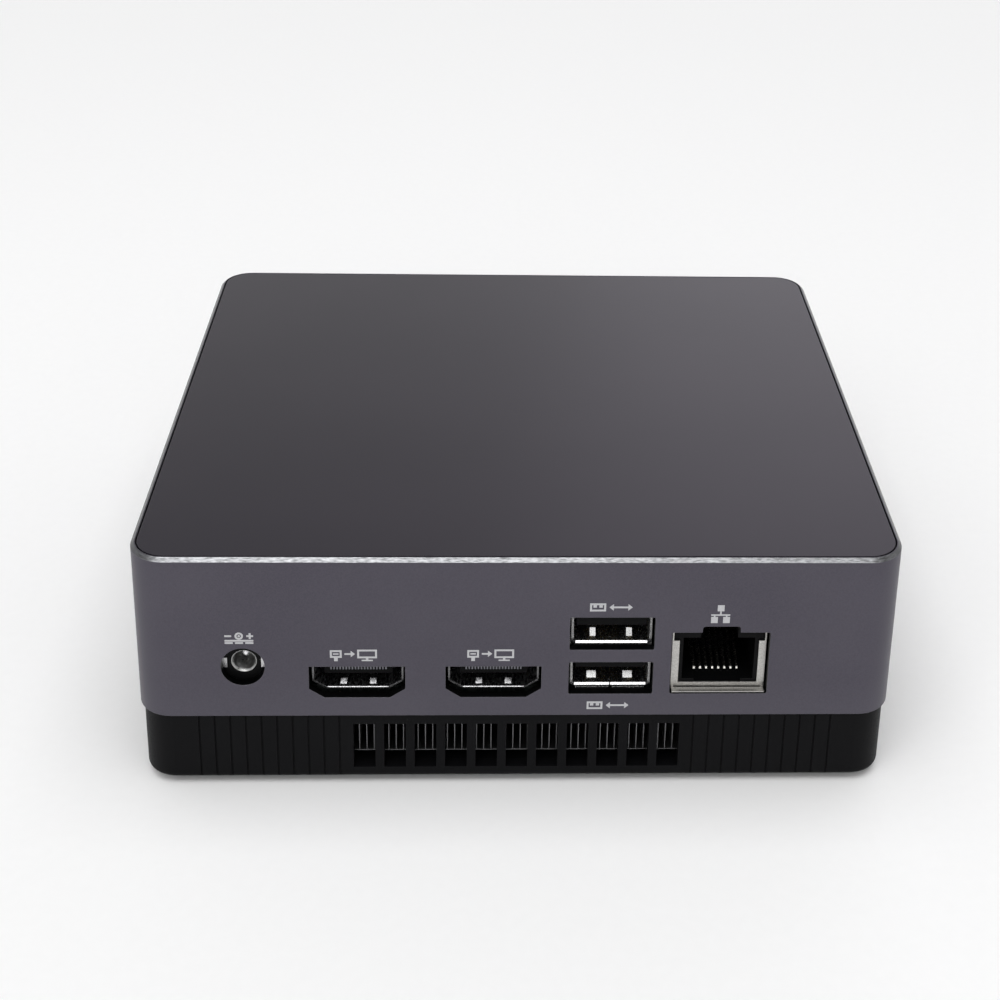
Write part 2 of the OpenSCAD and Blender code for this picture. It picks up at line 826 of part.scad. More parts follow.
module fan_magnet() {
    color("#48484c") translate([fan_x, fan_y, 0]) difference() {
        post(0, 0, hub_r - hub_wall - 0.03, rotor_low + 0.85, rotor_high - 0.1);
        post(0, 0, 7.1, rotor_low, rotor_high + 1);
    }
}

module fan_shaft() {
    color("#d8d8dc") translate([fan_x, fan_y, 0]) post(0, 0, shaft_r, rotor_low, fan_roof - 0.75);
}

// Three wires that run from the fan's wall to a plug under the board
module fan_cable() {
    wall_x = fan_x - fan_inner_r - fan_wall;
    plug_x = wall_x - 13;
    wire_y = fan_y - 13;
    wire_z = board_bottom - 1.4;
    color("#c03028") for (i = [-1 : 1]) {
        translate([wall_x - 3, wire_y + i * 1.2, wire_z]) rotate([0, -90, 0]) cylinder(r = 0.4, h = 7.6);
        translate([wall_x - 3, wire_y + i * 1.2, wire_z - 2.4]) rotate([90, 0, 0])
            rotate_extrude(angle = 90) translate([2.4, 0]) circle(r = 0.4);
        translate([wall_x - 0.6, wire_y + i * 1.2, fan_roof - 4])
            cylinder(r = 0.4, h = wire_z - 2.4 - fan_roof + 4);
    }
    color("#e8e4d8")
        box([plug_x - 2.5, wire_y - 3, board_bottom - 2.8], [plug_x + 2.5, wire_y + 3, board_bottom]);
}

// ---- Cards on top of the board ----

module memory_socket() {
    half = memory_w / 2;
    color("#e9e6da") translate([memory_x, 0, 0]) difference() {
        union() {
            box([-half - 2, memory_y + 27, board_top], [half + 2, memory_y + 34, board_top + 4]);
            for (s = [-1, 1]) translate([s * (half + 1.1), 0, 0])
                box([-0.9, memory_y + 6, board_top + 1], [0.9, memory_y + 28, board_top + 3.6]);
        }
        box([-half - 0.1, memory_y + 26, memory_z - 0.05], [half + 0.1, memory_y + 30.1, memory_z + 1.05]);
    }
}

module memory_module() {
    half = memory_w / 2;
    color("#14201b") translate([memory_x, 0, 0])
        box([-half, memory_y, memory_z], [half, memory_y + 30, memory_z + 1]);
    color("#202022") for (i = [-1.5 : 1.5], s = [0, 1])
        translate([memory_x + i * 16, memory_y + 13, memory_z + 0.5 + (s - 0.5) * 2])
            cube([11, 9, 1 + eps], center = true);
}

// Socket for a small card, its slot towards -X, its back at x = 0
module card_socket() {
    color("#232326") difference() {
        box([-8.5, -card_w / 2, board_top], [0, card_w / 2, board_top + 4.2]);
        box([-9, -card_w / 2 + 0.9, card_z - 0.05], [-6, card_w / 2 - 0.9, card_z + card_t + 0.05]);
    }
}

module card_sockets() {
    translate([ssd_x + ssd_len + 6.8, ssd_y, 0]) card_socket();
    translate([radio_x - radio_len - 6.8, radio_y, 0]) mirror([1, 0, 0]) card_socket();
}

// Card from its screw end at x = 0 to its contact edge at x = len
module card(len) {
    color("#14201b") difference() {
        union() {
            box([0, -card_w / 2, card_z], [len - 3, card_w / 2, card_z + card_t]);
            box([len - 4, -card_w / 2 + 1, card_z], [len, card_w / 2 - 1, card_z + card_t]);
        }
        translate([0, 0, card_z - 1]) cylinder(r = 1.75, h = card_t + 2);
    }
}

module ssd_module() {
    translate([ssd_x, ssd_y, 0]) {
        card(ssd_len);
        color("#1c1c1e") {
            box([8, -7, card_z + card_t - eps], [22, 7, card_z + card_t + 1]);
            box([25, -4, card_z + card_t - eps], [35, 6, card_z + card_t + 0.9]);
        }
    }
}

module radio_card() {
    translate([radio_x, radio_y, 0]) mirror([1, 0, 0]) {
        card(radio_len);
        color("#c0c2c6") box([9, -8, card_z + card_t - eps], [23, 8, card_z + card_t + 1.2]);
        color("#d8b860") for (s = [-1, 1])
            translate([5, s * 7, card_z + card_t - eps]) cylinder(r = 1, h = 0.6);
    }
}

module card_standoffs() {
    color("#b8963e") for (p = card_ends) translate([p[0], p[1], 0]) difference() {
        translate([0, 0, board_top]) cylinder(r = 2.6, h = card_z - board_top, $fn = 6);
        translate([0, 0, board_top + 0.3]) cylinder(r = m2_r + slack, h = 4);
    }
}

module antennas() {
    color("#c89838") for (p = antenna_spots)
        translate([p[0], p[1], 0]) round_prism(34, 9, 1, antenna_z, antenna_z + 0.2);
}

// Thin cables that rise from the radio card and turn along the antennas
module antenna_cables() {
    r = 0.55;
    bend = 3;
    plug_z = card_z + card_t + 0.62;
    top_z = antenna_z - r - 0.03;
    plug_x = radio_x - 5;
    color("#2c2c30") for (p = antenna_spots) translate([plug_x, p[1], 0]) {
        translate([0, 0, plug_z]) cylinder(r = r, h = top_z - bend - plug_z);
        translate([-bend, 0, top_z - bend]) rotate([90, 0, 0])
            rotate_extrude(angle = 90) translate([bend, 0]) circle(r = r);
        translate([-bend, 0, top_z]) rotate([0, -90, 0]) cylinder(r = r, h = plug_x - bend - p[0] - 14);
    }
}

module coin_cell() {
    color("#c6c8cc") {
        post(46, 27, 9.9, board_top + 0.1, board_top + 2.6);
        post(46, 27, 8.6, board_top + 2.5, board_top + 3.2);
    }
}

module power_inductors() {
    color("#4a4a4e") for (i = [0 : 2], j = [0, 1])
        translate([-53 + j * 9, 6 + i * 9, 0]) difference() {
            box([-3.3, -3.3, board_top], [3.3, 3.3, board_top + 3]);
            translate([0, 0, board_top + 2.7]) cylinder(r = 2.2, h = 1);
        }
}

module control_chips() {
    color("#202022") {
        box([22, 22, board_top], [33, 33, board_top + 1]);
        box([2, 30, board_top], [12, 37, board_top + 0.9]);
        box([-18, 31, board_top], [-8, 36, board_top + 1.1]);
    }
}

// ---- Power jack ----

module dc_jack_body() {
    color("#121214") at_rear(dc_x) difference() {
        box([-4.5, -dc_len, board_top], [4.5, 0, dc_z + 5.2]);
        translate([0, 1, dc_z]) rotate([90, 0, 0]) cylinder(r = dc_tube_r + slack, h = 11.5);
        translate([0, -9, dc_z]) rotate([90, 0, 0]) cylinder(r = dc_root_r + 0.02, h = 6);
        for (x = [-4.7, 2.7]) box([x, -0.35, dc_z - 1.3], [x + 2, 1, dc_z + 0.7]);
    }
}

// Metal tube that takes the plug's barrel, its mouth bevelled
module dc_jack_barrel() {
    color("#d4d6da") at_rear(dc_x) translate([0, 0, dc_z]) rotate([90, 0, 0]) difference() {
        cylinder(r = dc_tube_r, h = 10.4);
        translate([0, 0, -1]) cylinder(r = dc_tube_inner_r, h = 10.9);
        translate([0, 0, -slack]) cylinder(r1 = dc_tube_r - 0.02, r2 = dc_tube_inner_r, h = 0.35);
        translate([0, 0, 5]) cylinder(r = 1.1, h = 8);
    }
}

// Centre pin with a rounded tip, set back inside the tube, on a thinner root
module dc_jack_pin() {
    tip = 1.9;
    free_len = 7.2;
    color("#dcdde0") at_rear(dc_x) translate([0, -tip - dc_pin_r, dc_z]) {
        sphere(r = dc_pin_r);
        rotate([90, 0, 0]) cylinder(r = dc_pin_r, h = free_len);
        rotate([90, 0, 0]) cylinder(r = dc_root_r, h = free_len + 4);
    }
}

// Earth clip that wraps the jack's sides. Its two tongues show at the sides of the wall's hole.
module dc_jack_clip() {
    side = 4.55;
    sheet = 0.3;
    top = dc_z + 5.25;
    color("#c4c6ca") at_rear(dc_x) {
        for (m = [0, 1]) mirror([m, 0, 0]) {
            box([side, -11, board_top + sheet], [side + sheet, 0, top + sheet]);
            box([2.75, -0.25, dc_z - 1.2], [side + 0.1, 0, dc_z + 0.6]);
        }
        box([-side - sheet, -11, top], [side + sheet, -1, top + sheet]);
    }
}

// ---- Video ports ----

// Cut that bevels the front edge of a cavity along one straight side
module lip_cut(w, bevel) {
    rotate([45, 0, 0]) cube([w, bevel * sqrt(2), bevel * sqrt(2)], center = true);
}

// Contact spring bent up from a floor at z = 0, its ramp starting at y = -start
module floor_spring(w, start, ramp, rise, tail) {
    t = 0.14;
    crest = -start - ramp;
    outline = [[-start, -0.02], [crest, rise], [crest - 0.5, rise], [-tail, -0.02],
        [-tail + 4 * t, -0.02], [crest - 0.5, rise - t], [crest, rise - t], [-start - 2 * t, -0.02]];
    translate([-w / 2, 0, 0]) rotate([90, 0, 90]) linear_extrude(height = w) polygon(outline);
}

module video_shell() {
    inner_w = video_shell_w - 2 * video_metal;
    difference() {
        translate([0, 0, video_shell_z]) face_prism(video_len)
            video_outline(video_shell_w, video_shell_h, [2.3, 1.45]);
        translate([0, 1, video_inner_z]) face_prism(video_len + 2)
            video_outline(inner_w, video_shell_h - 2 * video_metal, [2.12, 1.3]);
        translate([0, 0, video_inner_z]) lip_cut(inner_w - 4.3, 0.1);
    }
    for (s = [-1, 1]) translate([s * 2.4, 0, video_inner_z]) floor_spring(1.07, 0.75, 0.75, 0.6, 5);
}

module video_shells() {
    color("#c8cacf") for (x = video_centres) at_rear(x) video_shell();
}

module video_inserts() {
    inner_w = video_shell_w - 2 * video_metal;
    color("#0e0e10") for (x = video_centres) at_rear(x) {
        translate([0, -6.5, video_inner_z + slack]) face_prism(video_len - 6.5)
            video_outline(inner_w - 2 * slack, video_shell_h - 2 * video_metal - 2 * slack, [2.14, 1.32]);
        box([-5.6, -7, video_tongue_z], [5.6, -1.6, video_tongue_z + 1.3]);
    }
}

module video_contacts() {
    color("#c9b27a") for (x = video_centres) at_rear(x)
        for (i = [-9 : 9]) translate([i * 0.5, 0, video_tongue_z + 1.3]) {
            box([-0.13, -6.4, 0], [0.13, -1.52, 0.1]);
            box([-0.13, -1.6, -0.55], [0.13, -1.52, 0.1]);
        }
}

// ---- Serial ports ----

// Tube around one cavity, its floor at z = 0
module usb_tube(len) {
    w = usb_cavity[0];
    h = usb_cavity[1];
    translate([0, 0, h / 2]) face_prism(len) rounded_rect(w + 2 * usb_metal, h + 2 * usb_metal, 0.8);
}

module usb_cavity_cut(len) {
    w = usb_cavity[0];
    h = usb_cavity[1];
    translate([0, 1, h / 2]) face_prism(len + 1) rounded_rect(w, h, 0.45);
    for (z = [0, h]) translate([0, 0, z]) lip_cut(w - 0.6, usb_flare);
    for (s = [-1, 1]) translate([s * w / 2, 0, h / 2]) rotate([0, 90, 0]) lip_cut(h - 1.4, usb_flare / 2);
}

// Two springs on the floor of a cavity
module usb_springs(w, rise) {
    for (s = [-1, 1]) translate([s * 3, 0, 0]) floor_spring(w, 1.5, 0.8, rise, 7);
}

// Tongue and rear block of one port, its cavity floor at z = 0
module usb_insert() {
    w = usb_cavity[0] - 2 * slack;
    h = usb_cavity[1] - 2 * slack;
    translate([0, -usb_len + 4, usb_cavity[1] / 2]) face_prism(4) rounded_rect(w, h, 0.4);
    box([-5.7, -usb_len + 3, usb_tongue_rise], [5.7, -1, usb_tongue_rise + usb_tongue_t]);
}

// Contact strips on the underside of one tongue
module usb_contact_row() {
    for (x = [-3.5, -1, 1, 3.5])
        box([x - 0.5, -usb_len + 4.2, usb_tongue_rise - 0.12], [x + 0.5, -1.6, usb_tongue_rise]);
}

module rear_usb_shell() {
    half = usb_cavity[0] / 2 + usb_metal;
    top = usb_cavity_high + usb_cavity[1] + usb_metal;
    color("#c8cacf") at_rear(usb_x) {
        difference() {
            union() {
                for (z = [usb_cavity_low, usb_cavity_high]) translate([0, 0, z]) usb_tube(usb_len);
                difference() {
                    box([-half - 0.3, -usb_len - 3, board_top + 0.02], [half + 0.3, -2.5, top]);
                    box([-half, -usb_len - 2.7, board_top + 0.3], [half, -2.8, top - 0.3]);
                }
                for (x = [-3, 3])
                    box([x - 2.7, -3, board_top + 0.02], [x + 2.7, 0, board_top + 0.22]);
            }
            for (z = [usb_cavity_low, usb_cavity_high]) translate([0, 0, z]) usb_cavity_cut(usb_len + 1);
            box([-0.08, -1.2, usb_cavity_low - usb_metal - 0.2], [0.08, 1, usb_cavity_low + 0.2]);
        }
        translate([0, 0, usb_cavity_low]) usb_springs(1.55, 0.85);
        translate([0, 0, usb_cavity_high]) usb_springs(0.95, 1.1);
    }
}

module rear_usb_insert() {
    color("#101012") at_rear(usb_x)
        for (z = [usb_cavity_low, usb_cavity_high]) translate([0, 0, z]) usb_insert();
}

module front_usb_shells() {
    color("#c8cacf") for (x = [front_usb_1_x, front_usb_2_x]) at_front(x) {
        difference() {
            translate([0, 0, usb_cavity_low]) usb_tube(usb_len);
            translate([0, 0, usb_cavity_low]) usb_cavity_cut(usb_len + 1);
        }
        for (s = [-1, 1]) box([s * 6.2 - 0.4, -9, board_top], [s * 6.2 + 0.4, -5, usb_cavity_low + 0.3]);
        translate([0, 0, usb_cavity_low]) usb_springs(0.95, 1.1);
    }
}

module front_usb_inserts() {
    color("#101012") for (x = [front_usb_1_x, front_usb_2_x])
        at_front(x) translate([0, 0, usb_cavity_low]) usb_insert();
}

module usb_contacts() {
    color("#c9b27a") {
        for (z = [usb_cavity_low, usb_cavity_high]) at_rear(usb_x) translate([0, 0, z]) usb_contact_row();
        for (x = [front_usb_1_x, front_usb_2_x])
            at_front(x) translate([0, 0, usb_cavity_low]) usb_contact_row();
    }
}

// ---- Network jack ----

module lan_shell() {
    side_low = board_top + 0.2;
    side_high = board_top + 9.2;
    color("#b4b6ba") at_rear(lan_x) {
        difference() {
            box([-lan_half, -lan_len, board_top + 0.05], [lan_half, 0, lan_top]);
            box([-lan_half + lan_metal, -lan_len + lan_metal, board_top + 0.05 + lan_metal],
                [lan_half - lan_metal, 1, lan_top - lan_metal]);
        }
        for (x = [-lan_half, lan_half - lan_flange])
            box([x, -lan_metal, side_low], [x + lan_flange, 0, side_high]);
        box([-lan_half + 0.1, -lan_metal, board_top + 0.2], [lan_half - 0.1, 0, lan_sill]);
        box([-lan_half + 0.1, 0.25, board_top + 0.1], [lan_half - 0.1, lan_lip, board_top + 0.3]);
        for (x = [-lan_half + 0.1, lan_half - 0.5])
            box([x, -0.1, board_top + 0.1], [x + 0.4, 0.4, board_top + 0.3]);
    }
}

module lan_insert() {
    gap = lan_metal + 0.05;
    cavity_top = lan_cavity_floor + lan_cavity_h;
    color("#0e0e10") at_rear(lan_x) difference() {
        box([-lan_half + gap, -lan_len + gap, board_top + 0.05 + gap],
            [lan_half - gap, -gap, lan_top - gap]);
        box([-5.9, -14, lan_cavity_floor], [5.9, 1, cavity_top]);
        box([-3.05, -14, cavity_top - 1], [3.05, 1, cavity_top + 2.2]);
        box([-3.9, -3, lan_cavity_floor - 0.5], [3.9, 1, lan_cavity_floor + 1]);
        for (i = [-3.5 : 3.5]) translate([i * lan_pitch, 0, 0])
            box([-0.28, -13, lan_cavity_floor - 0.5], [0.28, -2.5, lan_cavity_floor + 1]);
    }
}

// Eight bent spring strips that rise from slots in the cavity's floor
module lan_contacts() {
    outline = [[-12.6, -0.42], [-3.1, -0.42], [-2.8, 0.1], [-3.1, 0.35], [-10.5, 3.5],
        [-10.6, 3.2], [-3.4, 0.12], [-3.3, -0.12], [-12.6, -0.12]];
    color("#d8c07a") at_rear(lan_x) for (i = [-3.5 : 3.5])
        translate([i * lan_pitch - 0.17, 0, lan_cavity_floor])
            rotate([90, 0, 90]) linear_extrude(height = 0.34) polygon(outline);
}

// ---- Audio jack ----

module audio_jack() {
    len = 13;
    color("#161618") at_front(audio_x) difference() {
        box([-3, -len, board_top], [3, 0, audio_z + 3]);
        translate([0, 1, audio_z]) rotate([90, 0, 0]) cylinder(r = audio_r, h = len + 2);
    }
}

// ---- Power button ----

// Ring-shaped turning around the button's axis, between two y values
module button_disc(r, y0, y1) {
    translate([button_x, y0, button_z]) rotate([-90, 0, 0]) cylinder(r = r, h = y1 - y0);
}

module power_light_ring() {
    color("#dfe6ee") difference() {
        union() {
            button_disc(ring_r, -half_d, ring_back);
            button_disc(ring_r + 1, -half_d + shell_wall + 0.05, ring_back);
        }
        button_disc(button_r + 0.08, -half_d - 1, ring_back + 1);
    }
}

module power_button() {
    color("#3c3a40") {
        difference() {
            button_disc(button_r, button_front, button_flange + 0.1);
            translate([button_x, button_front - 12.6, button_z]) sphere(r = 12.75, $fn = 96);
        }
        button_disc(button_r + 0.7, button_flange, button_flange + 0.7);
        button_disc(1.2, button_flange + 0.5, stem_end);
    }
}

module switch_body() {
    color("#8e9096") difference() {
        box([button_x - 3.5, switch_front, board_top], [button_x + 3.5, switch_back, button_z + 3]);
        button_disc(1.3, switch_front - 1, switch_front + 1);
        button_disc(2.2, switch_front + 0.5, switch_back - 0.4);
    }
}

// Plunger and its collar, moved inwards by the button's stem
module switch_plunger() {
    color("#1c1c1e") {
        button_disc(1.24, stem_end + 0.1, switch_front + 0.9);
        button_disc(1.9, switch_front + 0.6, switch_front + 1.1);
    }
}

// Snap dome that pushes the plunger back
module switch_dome() {
    color("#d0d0d4") difference() {
        button_disc(1.7, dome_y, switch_back - 0.42);
        button_disc(1.3, dome_y + 0.15, switch_back);
    }
}

upper_shell();
top_panel();
top_panel_adhesive();
base_tub();
rubber_feet();
case_screws();
case_inserts();
bracket_inserts();
mainboard();
board_screws();
processor();
thermal_pad();
heatsink_plate();
heat_pipe();
fin_stack();
heatsink_screws();
heatsink_springs();
heatsink_backplate();
fan_housing();
fan_cover();
fan_standoffs();
small_screws();
fan_bearing();
fan_stator();
fan_rotor();
fan_magnet();
fan_shaft();
fan_cable();
memory_socket();
memory_module();
card_sockets();
ssd_module();
card_standoffs();
radio_card();
antennas();
antenna_cables();
coin_cell();
power_inductors();
control_chips();
dc_jack_body();
dc_jack_barrel();
dc_jack_pin();
dc_jack_clip();
video_shells();
video_inserts();
video_contacts();
rear_usb_shell();
rear_usb_insert();
usb_contacts();
lan_shell();
lan_insert();
lan_contacts();
front_usb_shells();
front_usb_inserts();
audio_jack();
power_light_ring();
power_button();
switch_body();
switch_plunger();
switch_dome();
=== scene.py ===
"""Looks of a small desktop computer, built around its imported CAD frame.

Every CAD node keeps its shape and gets a node material. The printed pictograms on the shell are
thin pieces of their own. The scene has a pale floor, soft light and one camera.
"""
import json
import math

import bmesh
import bpy
from mathutils import Matrix, Vector


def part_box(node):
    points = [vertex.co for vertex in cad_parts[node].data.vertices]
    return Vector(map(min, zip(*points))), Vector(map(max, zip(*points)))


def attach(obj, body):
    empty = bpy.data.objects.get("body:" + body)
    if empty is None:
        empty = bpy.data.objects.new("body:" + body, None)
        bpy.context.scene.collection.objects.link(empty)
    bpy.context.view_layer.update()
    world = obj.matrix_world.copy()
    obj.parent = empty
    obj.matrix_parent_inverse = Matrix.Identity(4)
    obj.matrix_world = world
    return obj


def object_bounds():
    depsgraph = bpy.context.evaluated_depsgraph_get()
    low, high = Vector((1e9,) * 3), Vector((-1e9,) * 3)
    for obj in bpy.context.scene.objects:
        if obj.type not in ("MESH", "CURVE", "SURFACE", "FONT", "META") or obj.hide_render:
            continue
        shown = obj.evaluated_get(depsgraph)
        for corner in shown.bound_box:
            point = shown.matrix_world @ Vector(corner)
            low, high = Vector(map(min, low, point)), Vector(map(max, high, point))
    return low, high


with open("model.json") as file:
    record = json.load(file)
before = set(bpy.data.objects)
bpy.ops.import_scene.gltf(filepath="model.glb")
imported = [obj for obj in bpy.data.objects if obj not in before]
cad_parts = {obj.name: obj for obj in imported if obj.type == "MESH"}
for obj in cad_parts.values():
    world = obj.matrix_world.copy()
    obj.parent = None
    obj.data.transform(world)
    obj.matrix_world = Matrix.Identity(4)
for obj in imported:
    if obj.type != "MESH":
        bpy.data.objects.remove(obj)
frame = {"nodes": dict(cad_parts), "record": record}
cad_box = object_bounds()

MM = 0.001


# ---- Materials ----

class Look:
    """A node material under construction. Texture places are in millimetres in the object's frame."""

    NAMES = {
        "color": "Base Color", "metallic": "Metallic", "roughness": "Roughness", "normal": "Normal",
        "specular": "Specular IOR Level", "coat": "Coat Weight", "coat_roughness": "Coat Roughness",
        "subsurface": "Subsurface Weight", "subsurface_scale": "Subsurface Scale",
        "sheen": "Sheen Weight", "specular_tint": "Specular Tint",
        "emission": "Emission Color", "glow": "Emission Strength",
    }

    def __init__(self, name, **surface):
        self.material = bpy.data.materials.new(name)
        self.material.use_nodes = True
        self.tree = self.material.node_tree
        self.tree.nodes.clear()
        self.shader = self.add("ShaderNodeBsdfPrincipled")
        output = self.add("ShaderNodeOutputMaterial")
        self.tree.links.new(self.shader.outputs["BSDF"], output.inputs["Surface"])
        coords = self.add("ShaderNodeTexCoord")
        self.place = self.vector("MULTIPLY", coords.outputs["Object"], (1 / MM, 1 / MM, 1 / MM))
        self.facing = coords.outputs["Normal"]
        self.set(**surface)

    def add(self, kind, settings=None, **inputs):
        """Adds a node. Each input takes a number, a tuple or another node's output."""
        node = self.tree.nodes.new(kind)
        for key, value in (settings or {}).items():
            setattr(node, key, value)
        for key, value in inputs.items():
            self.feed(node.inputs[key.replace("_", " ")], value)
        return node

    def feed(self, socket, value):
        if isinstance(value, bpy.types.NodeSocket):
            self.tree.links.new(value, socket)
        elif socket.type == "RGBA" and len(value) == 3:
            socket.default_value = (*value, 1)
        else:
            socket.default_value = value

    def set(self, **surface):
        """Sets inputs of the surface shader by their short names."""
        for key, value in surface.items():
            self.feed(self.shader.inputs[self.NAMES[key]], value)

    def vector(self, operation, a, b, output="Vector"):
        node = self.add("ShaderNodeVectorMath", {"operation": operation})
        self.feed(node.inputs[0], a)
        self.feed(node.inputs[1], b)
        return node.outputs[output]

    def math(self, operation, a, b=0.0):
        node = self.add("ShaderNodeMath", {"operation": operation})
        self.feed(node.inputs[0], a)
        self.feed(node.inputs[1], b)
        return node.outputs["Value"]

    def product(self, *masks):
        """All masks multiplied."""
        result = masks[0]
        for mask in masks[1:]:
            result = self.math("MULTIPLY", result, mask)
        return result

    def axis(self, vector, name):
        """One component, X, Y or Z, of a vector."""
        return self.add("ShaderNodeSeparateXYZ", Vector=vector).outputs[name]

    def reach(self, vector, name):
        """The size of one component of a vector, whatever its sign."""
        return self.math("ABSOLUTE", self.axis(vector, name))

    def remap(self, value, low, high, to_low=0.0, to_high=1.0):
        """Maps low..high to to_low..to_high and holds the ends."""
        node = self.add("ShaderNodeMapRange", Value=value, From_Min=low, From_Max=high,
                        To_Min=to_low, To_Max=to_high)
        return node.outputs["Result"]

    def mix(self, share, a, b):
        """Blends colour a into colour b by share. The node lists sockets for numbers and vectors
        before those for colours."""
        node = self.add("ShaderNodeMix", {"data_type": "RGBA"})
        factor, color_a, color_b, blend = node.inputs[0], node.inputs[6], node.inputs[7], node.outputs[2]
        self.feed(factor, share)
        self.feed(color_a, a)
        self.feed(color_b, b)
        return blend

    def noise(self, size, detail=2.0, stretch=(1, 1, 1)):
        """Noise around 0.5 with features of about size millimetres, longer where stretch is small."""
        place = self.vector("MULTIPLY", self.place, stretch)
        return self.add("ShaderNodeTexNoise", Vector=place, Scale=1 / size, Detail=detail).outputs["Fac"]

    def cells(self, size, feature, stretch=(1, 1, 1)):
        """Distances in a pattern of cells of about size millimetres, longer where stretch is small."""
        place = self.vector("MULTIPLY", self.place, stretch)
        node = self.add("ShaderNodeTexVoronoi", {"feature": feature}, Vector=place, Scale=1 / size)
        return node.outputs["Distance"]

    def vary(self, fac, color, amount):
        """A colour made darker and lighter by a share, following fac around 0.5."""
        dark = tuple(c * (1 - amount) for c in color)
        light = tuple(min(1, c * (1 + amount)) for c in color)
        return self.mix(self.remap(fac, 0.3, 0.7), dark, light)

    def rounded(self, radius):
        """Shading normal rounded over sharp edges, and a mask that is 1 along them."""
        bevel = self.add("ShaderNodeBevel", {"samples": 4}, Radius=radius * MM)
        geometry = self.add("ShaderNodeNewGeometry")
        same = self.vector("DOT_PRODUCT", bevel.outputs["Normal"], geometry.outputs["Normal"], "Value")
        return bevel.outputs["Normal"], self.remap(same, 0.97, 0.8)

    def bump(self, height, depth, under=None):
        """Raises the surface by depth millimetres where height is 1, over an optional normal."""
        node = self.add("ShaderNodeBump", Height=height, Distance=depth * MM)
        if under is not None:
            self.feed(node.inputs["Normal"], under)
        self.set(normal=node.outputs["Normal"])


def shell_grey(look, grain, edge, bottom):
    """Anodised grey with soft patches and fine glints, a painted paler band at the bottom for light
    bounced up from the floor, and lighter edges, partly wear and partly a painted highlight.
    """
    patches = look.noise(28, 2)
    grey = look.mix(look.remap(patches, 0.35, 0.65), (0.080, 0.0745, 0.093), (0.090, 0.084, 0.103))
    glints = look.math("MULTIPLY", look.remap(grain, 0.32, 0.68), 0.25)
    grey = look.mix(glints, grey, (0.15, 0.143, 0.166))
    # Painted bounce light: the lowest rim millimetres turn paler, as light from the floor would make them.
    rim, floor_bounce_share = 7.0, 0.12
    painted_floor_bounce = look.remap(look.axis(look.place, "Z"), bottom + rim, bottom, 0.0, floor_bounce_share)
    grey = look.mix(painted_floor_bounce, grey, (0.17, 0.165, 0.19))
    # Edges lighter towards bare grey: partly wear of the anodising, partly a painted highlight.
    return look.mix(look.math("MULTIPLY", edge, 0.35), grey, (0.42, 0.42, 0.44))


def chamfer_mask(look, top):
    """1 on the chamfer's sloping faces, which lie within a millimetre of the top."""
    slope = look.axis(look.facing, "Z")
    height = look.axis(look.place, "Z")
    return look.product(look.remap(slope, 0.4, 0.5), look.remap(slope, 0.95, 0.9),
                        look.remap(height, top - 1.2, top - 1.0))


def chamfer_metal(look):
    """Bright metal with cutter marks, painted darker where it faces the sides as shade in place of the dim
    reflection there.
    """
    marks = look.noise(0.5, 3, stretch=(0.5, 0.5, 3))
    bright = look.vary(marks, (0.28, 0.284, 0.294), 0.5)
    # Painted shade: chamfer faces turned towards the sides are darkened.
    sideways = look.remap(look.reach(look.facing, "X"), 0.25, 0.6)
    return look.mix(sideways, bright, (0.1, 0.1, 0.105))


def opening_mask(look, high):
    """1 on the cut faces of the openings. They lie within the end walls, face across them and are
    away from the shell's sides and top."""
    wall, sides, top, fade = 2.1, 6.0, 4.0, 1.0
    in_wall = look.remap(look.reach(look.place, "Y"), high.y - wall, high.y - wall + 0.05)
    across = look.remap(look.reach(look.facing, "Y"), 0.6, 0.5)
    off_sides = look.remap(look.reach(look.place, "X"), high.x - sides, high.x - sides - fade)
    below_top = look.remap(look.axis(look.place, "Z"), high.z - top, high.z - top - fade)
    return look.product(in_wall, across, off_sides, below_top)


def blasted_shell():
    """Bead-blasted grey anodised aluminium. Its chamfer is cut back to bright metal, and the cut
    faces of the socket openings are black."""
    look = Look("blasted_shell", metallic=1.0)
    low, high = (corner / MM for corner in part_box("upper_shell"))
    grain = look.noise(0.22, 3)
    normal, edge = look.rounded(0.12)
    chamfer = chamfer_mask(look, high.z)
    shell = look.mix(chamfer, shell_grey(look, grain, edge, low.z), chamfer_metal(look))
    smoother = look.math("MULTIPLY", chamfer, 0.12)
    look.set(
        color=look.mix(opening_mask(look, high), shell, (0.012, 0.012, 0.013)),
        roughness=look.math("SUBTRACT", look.remap(grain, 0.3, 0.7, 0.4, 0.5), smoother),
    )
    look.bump(grain, 0.012, normal)
    return look


def satin_panel():
    """Satin dark film over the top plate, with a very fine grain."""
    look = Look("satin_panel", metallic=0.0, specular=0.41, specular_tint=(0.94, 0.84, 1.0, 1))
    grain = look.noise(0.12, 2)
    drift = look.noise(35, 2)
    base = look.mix(look.remap(drift, 0.35, 0.65), (0.007, 0.006, 0.010), (0.010, 0.0085, 0.013))
    normal, edge = look.rounded(0.15)
    base = look.mix(look.remap(grain, 0.35, 0.65, 0.0, 0.25), base, (0.024, 0.022, 0.028))
    # Painted highlight: the panel's edges are lighter than its face.
    look.set(color=look.mix(look.math("MULTIPLY", edge, 0.3), base, (0.1, 0.1, 0.11)),
             roughness=look.remap(grain, 0.3, 0.7, 0.3, 0.38))
    look.bump(grain, 0.004, normal)
    return look


